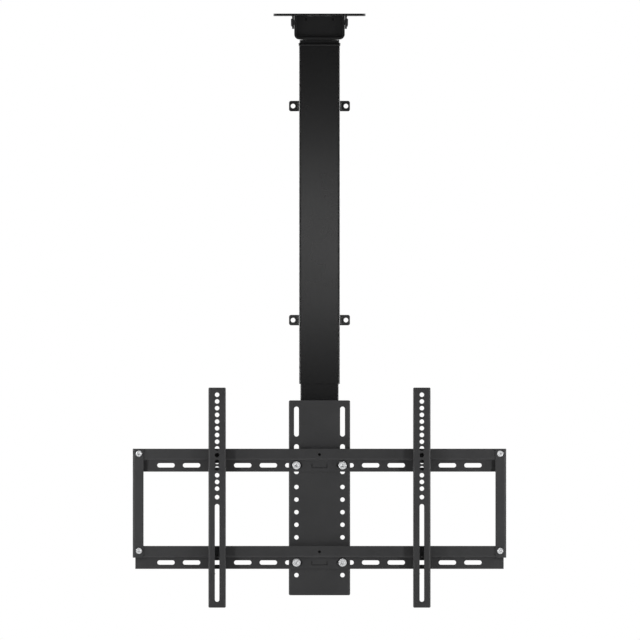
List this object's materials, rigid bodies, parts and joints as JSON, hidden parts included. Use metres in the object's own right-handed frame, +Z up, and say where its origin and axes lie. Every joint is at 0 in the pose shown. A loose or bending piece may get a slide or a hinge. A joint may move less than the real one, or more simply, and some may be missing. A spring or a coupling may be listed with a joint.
{
  "type": "tv ceiling mount",
  "caption": "Motorised ceiling lift mount for a television: tilting and swivelling head, telescopic box column, slotted cross rails and hook-on screen arms.",
  "frame": {"origin": "middle of the ceiling plate's top face", "axes": "+Z up out of the ceiling plate, -Y towards the front where the screen hangs, +X to the right seen from the front"},
  "size_m": [0.73, 0.154, 1.161],
  "materials": {
    "black_steel": "satin black powder coat",
    "zinc_plated_steel": "bright zinc plate",
    "black_bolt": "black finished steel",
    "black_plastic": "moulded black plastic",
    "black_rubber": "moulded black rubber",
    "motor_steel": "bare drawn steel can",
    "cast_aluminium": "machined aluminium",
    "bright_steel": "turned steel, lightly oiled",
    "nut_brass": "turned brass"
  },
  "bodies": {
    "ceiling": {"ceiling_plate": "black_steel", "right_pivot_bolt": "black_bolt", "left_pivot_bolt": "black_bolt", "right_pivot_nut": "black_bolt", "left_pivot_nut": "black_bolt"},
    "head": {"head_bracket": "black_steel"},
    "column": {"swivel_disc": "black_plastic", "swivel_bolt": "zinc_plated_steel", "swivel_washer": "zinc_plated_steel", "swivel_nut": "zinc_plated_steel", "top_cap": "black_steel", "cap_screws": "black_bolt", "outer_tube": "black_steel", "cable_outlet": "black_rubber", "right_upper_lug": "black_steel", "left_upper_lug": "black_steel", "right_lower_lug": "black_steel", "left_lower_lug": "black_steel", "lower_glide": "black_plastic", "gearmotor": "motor_steel", "motor_screws": "zinc_plated_steel", "bearing_block": "cast_aluminium", "block_screws": "black_bolt", "screw_bearing": "bright_steel"},
    "screw": {"motor_shaft": "bright_steel", "coupler": "bright_steel", "lead_screw": "bright_steel"},
    "carriage": {"drive_nut": "nut_brass", "nut_screws": "zinc_plated_steel", "nut_carrier": "cast_aluminium", "upper_glide": "black_plastic", "inner_tube": "black_steel", "tube_end_plug": "black_plastic", "upper_standoff": "black_steel", "lower_standoff": "black_steel", "adapter_plate": "black_steel", "upper_rail": "black_steel", "lower_rail": "black_steel", "right_upright": "black_steel", "left_upright": "black_steel", "upper_corner_bolts": "zinc_plated_steel", "lower_corner_bolts": "zinc_plated_steel", "upper_corner_nuts": "zinc_plated_steel", "lower_corner_nuts": "zinc_plated_steel", "upper_plate_bolts": "zinc_plated_steel", "lower_plate_bolts": "zinc_plated_steel", "upper_plate_washers": "zinc_plated_steel", "lower_plate_washers": "zinc_plated_steel", "upper_plate_nuts": "zinc_plated_steel", "lower_plate_nuts": "zinc_plated_steel"},
    "right_arm": {"right_arm": "black_steel", "right_lock_screw": "black_bolt"},
    "left_arm": {"left_arm": "black_steel", "left_lock_screw": "black_bolt"}
  },
  "joints": [
    {"name": "head_tilt", "type": "hinge", "parent": "ceiling", "child": "head", "pos_m": [0, 0, -0.017], "axis": [1, 0, 0], "range_deg": [0, 20]},
    {"name": "column_swivel", "type": "hinge", "parent": "head", "child": "column", "pos_m": [0, 0, -0.05], "axis": [0, 0, 1], "range_deg": [-60, 60]},
    {"name": "column_slide", "type": "slide", "parent": "column", "child": "carriage", "axis": [0, 0, -1], "range_m": [0, 0.34]},
    {"name": "screw_spin", "type": "hinge", "parent": "column", "child": "screw", "pos_m": [0, 0, -0.25], "axis": [0, 0, 1], "range_deg": [0, 7660]},
    {"name": "right_arm_slide", "type": "slide", "parent": "carriage", "child": "right_arm", "axis": [1, 0, 0], "range_m": [-0.1, 0.1]},
    {"name": "left_arm_slide", "type": "slide", "parent": "carriage", "child": "left_arm", "axis": [1, 0, 0], "range_m": [-0.1, 0.1]}
  ],
  "couplings": [
    {"joint": "screw_spin", "follows": "column_slide", "rad_per_m": 392.7}
  ]
}
